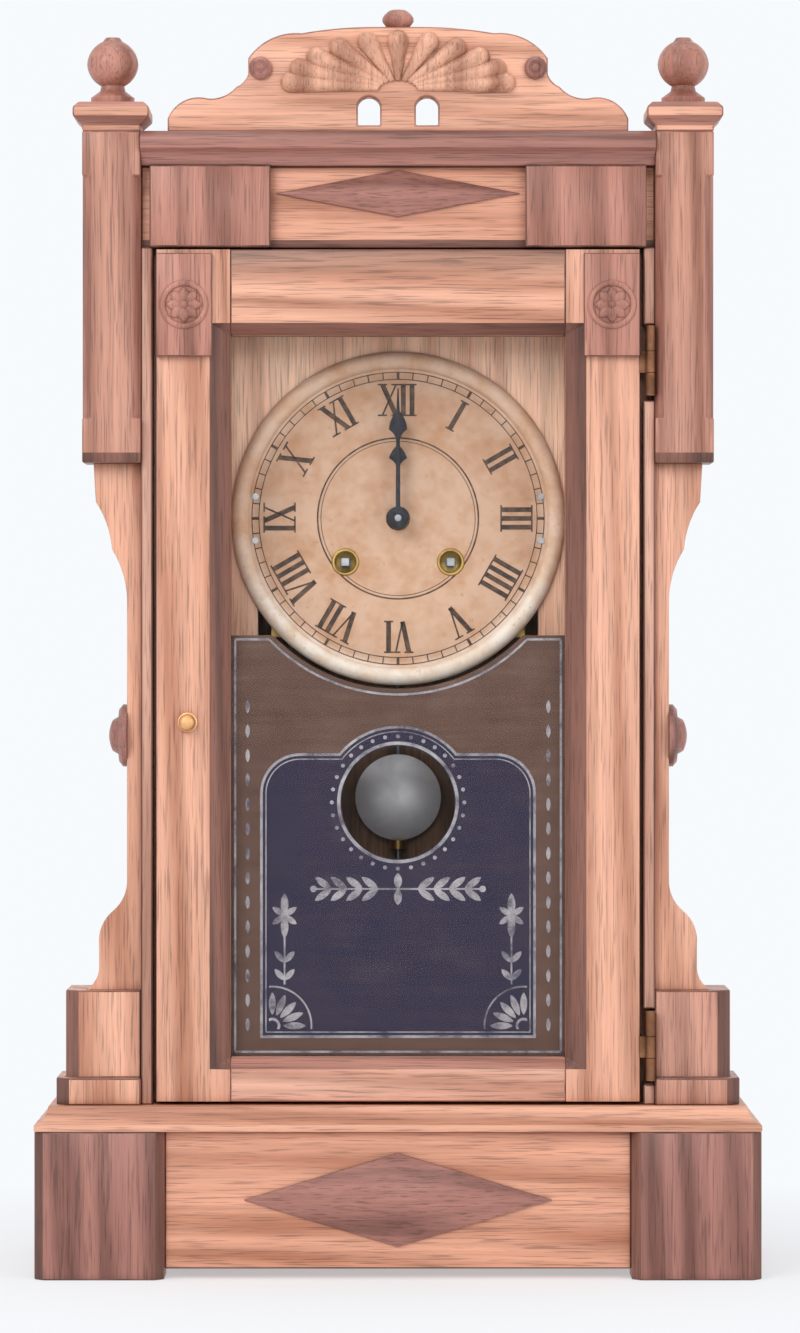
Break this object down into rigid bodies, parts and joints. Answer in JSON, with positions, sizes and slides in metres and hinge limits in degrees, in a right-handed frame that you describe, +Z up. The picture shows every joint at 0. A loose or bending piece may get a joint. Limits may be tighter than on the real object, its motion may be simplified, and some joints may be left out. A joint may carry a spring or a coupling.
{
  "type": "shelf clock",
  "caption": "Wooden shelf clock with a carved crest, turned finials and a hinged glazed door over a round dial, a pendulum, and a striking movement with a gong.",
  "frame": {"origin": "bottom centre of the overall box: the plane that the base stands on, midway in width and depth", "axes": "+X to the right seen from the front, +Y to the back, +Z up; the door and dial face -Y"},
  "size_m": [0.324, 0.128, 0.567],
  "materials": {
    "walnut_light": "oiled",
    "walnut_mid": "oiled",
    "walnut_dark": "oiled",
    "back_wood": "plain",
    "window_glass": "clear",
    "brass": "polished",
    "steel": "bright",
    "dial_paint": "matt",
    "hand_paint": "blued",
    "bob_plate": "silvered",
    "gong_iron": "black"
  },
  "bodies": {
    "case": {"base_blocks": "walnut_dark", "base_front_panel": "walnut_light", "base_boards": "walnut_mid", "base_top": "walnut_light", "base_diamond": "walnut_dark", "case_sides": "walnut_mid", "case_top": "walnut_light", "back_board": "back_wood", "frieze_board": "walnut_light", "frieze_blocks": "walnut_mid", "frieze_diamond": "walnut_dark", "cornice": "walnut_dark", "posts": "walnut_light", "post_caps": "walnut_mid", "finials": "walnut_dark", "side_scrolls": "walnut_light", "side_bosses": "walnut_dark", "lower_ears": "walnut_light", "crest_board": "walnut_light", "crest_carving": "walnut_mid", "hinge_leaves_case": "brass", "catch_plate": "brass", "dial_cleats": "walnut_mid", "dial_pan": "dial_paint", "front_plate": "brass", "back_plate": "brass", "plate_pillars": "brass", "movement_posts": "back_wood", "screws": "steel", "mainsprings": "steel", "suspension_cock": "brass", "gong": "gong_iron"},
    "door": {"door_stiles": "walnut_light", "door_top_rail": "walnut_light", "door_bottom_rail": "walnut_light", "door_corner_blocks": "walnut_mid", "door_glass": "window_glass", "glass_beads": "walnut_dark", "hinge_leaves_door": "brass"},
    "latch": {"door_knob": "brass", "door_catch": "brass"},
    "minute": {"centre_arbor": "steel", "minute_hand": "hand_paint"},
    "hour": {"hour_wheel": "brass", "hour_hand": "hand_paint"},
    "motion": {"minute_wheel": "brass"},
    "time_main": {"time_main_wheel": "brass"},
    "time_winding": {"time_winding_arbor": "steel"},
    "third": {"third_wheel": "steel"},
    "escape": {"escape_wheel": "steel"},
    "anchor": {"verge": "steel"},
    "pendulum": {"pendulum_rod": "steel", "pendulum_bob": "bob_plate"},
    "rating": {"rating_nut": "brass"},
    "strike_main": {"strike_main_wheel": "brass"},
    "strike_winding": {"strike_winding_arbor": "steel"},
    "strike_second": {"strike_second_wheel": "steel"},
    "strike_warning": {"strike_warning_wheel": "steel"},
    "fly": {"strike_fly": "brass"},
    "striker": {"hammer": "steel"}
  },
  "joints": [
    {"name": "door_swing", "type": "hinge", "parent": "case", "child": "door", "pos_m": [0.1128, -0.054, 0.27], "axis": [0, 0, 1], "range_deg": [0, 110]},
    {"name": "latch_turn", "type": "hinge", "parent": "door", "child": "latch", "pos_m": [-0.094, -0.04, 0.248], "axis": [0, -1, 0], "range_deg": [0, 90]},
    {"name": "minute_turn", "type": "hinge", "parent": "case", "child": "minute", "pos_m": [0, 0.02, 0.3405], "axis": [0, 1, 0], "continuous": true},
    {"name": "hour_turn", "type": "hinge", "parent": "case", "child": "hour", "pos_m": [0, 0.02, 0.3405], "axis": [0, 1, 0], "continuous": true},
    {"name": "motion_turn", "type": "hinge", "parent": "case", "child": "motion", "pos_m": [0.0085, 0.02, 0.349], "axis": [0, 1, 0], "continuous": true},
    {"name": "time_main_turn", "type": "hinge", "parent": "case", "child": "time_main", "pos_m": [0.024, 0.02, 0.3206], "axis": [0, 1, 0], "continuous": true},
    {"name": "third_turn", "type": "hinge", "parent": "case", "child": "third", "pos_m": [0.0161, 0.02, 0.3555], "axis": [0, 1, 0], "continuous": true},
    {"name": "escape_turn", "type": "hinge", "parent": "case", "child": "escape", "pos_m": [0, 0.02, 0.3705], "axis": [0, 1, 0], "continuous": true},
    {"name": "time_wind", "type": "hinge", "parent": "time_main", "child": "time_winding", "pos_m": [0.024, 0.02, 0.3206], "axis": [0, 1, 0], "continuous": true},
    {"name": "pendulum_swing", "type": "hinge", "parent": "case", "child": "pendulum", "pos_m": [0, 0.05, 0.3945], "axis": [0, 1, 0], "range_deg": [-4, 4]},
    {"name": "anchor_rock", "type": "hinge", "parent": "case", "child": "anchor", "pos_m": [0, 0.02, 0.3945], "axis": [0, 1, 0], "range_deg": [-4, 4]},
    {"name": "rating_turn", "type": "hinge", "parent": "pendulum", "child": "rating", "pos_m": [0, 0.05, 0.19], "axis": [0, 0, 1], "continuous": true},
    {"name": "strike_second_turn", "type": "hinge", "parent": "case", "child": "strike_second", "pos_m": [-0.03, 0.02, 0.3512], "axis": [0, 1, 0], "continuous": true},
    {"name": "strike_main_turn", "type": "hinge", "parent": "case", "child": "strike_main", "pos_m": [-0.024, 0.02, 0.3206], "axis": [0, 1, 0], "continuous": true},
    {"name": "strike_warning_turn", "type": "hinge", "parent": "case", "child": "strike_warning", "pos_m": [-0.038, 0.02, 0.3717], "axis": [0, 1, 0], "continuous": true},
    {"name": "fly_turn", "type": "hinge", "parent": "case", "child": "fly", "pos_m": [-0.0208, 0.02, 0.377], "axis": [0, 1, 0], "continuous": true},
    {"name": "strike_wind", "type": "hinge", "parent": "strike_main", "child": "strike_winding", "pos_m": [-0.024, 0.02, 0.3206], "axis": [0, 1, 0], "continuous": true},
    {"name": "hammer_lift", "type": "hinge", "parent": "case", "child": "striker", "pos_m": [-0.053, 0.02, 0.3365], "axis": [0, 1, 0], "range_deg": [0, 6]}
  ],
  "couplings": [
    {"joint": "hour_turn", "follows": "minute_turn", "ratio": 0.083333},
    {"joint": "motion_turn", "follows": "minute_turn", "ratio": -0.33333},
    {"joint": "time_main_turn", "follows": "minute_turn", "ratio": -0.083333},
    {"joint": "third_turn", "follows": "minute_turn", "ratio": -10},
    {"joint": "escape_turn", "follows": "minute_turn", "ratio": 100},
    {"joint": "anchor_rock", "follows": "pendulum_swing", "ratio": 1},
    {"joint": "strike_main_turn", "follows": "strike_second_turn", "ratio": -0.076923},
    {"joint": "strike_warning_turn", "follows": "strike_second_turn", "ratio": -10},
    {"joint": "fly_turn", "follows": "strike_second_turn", "ratio": 80}
  ]
}
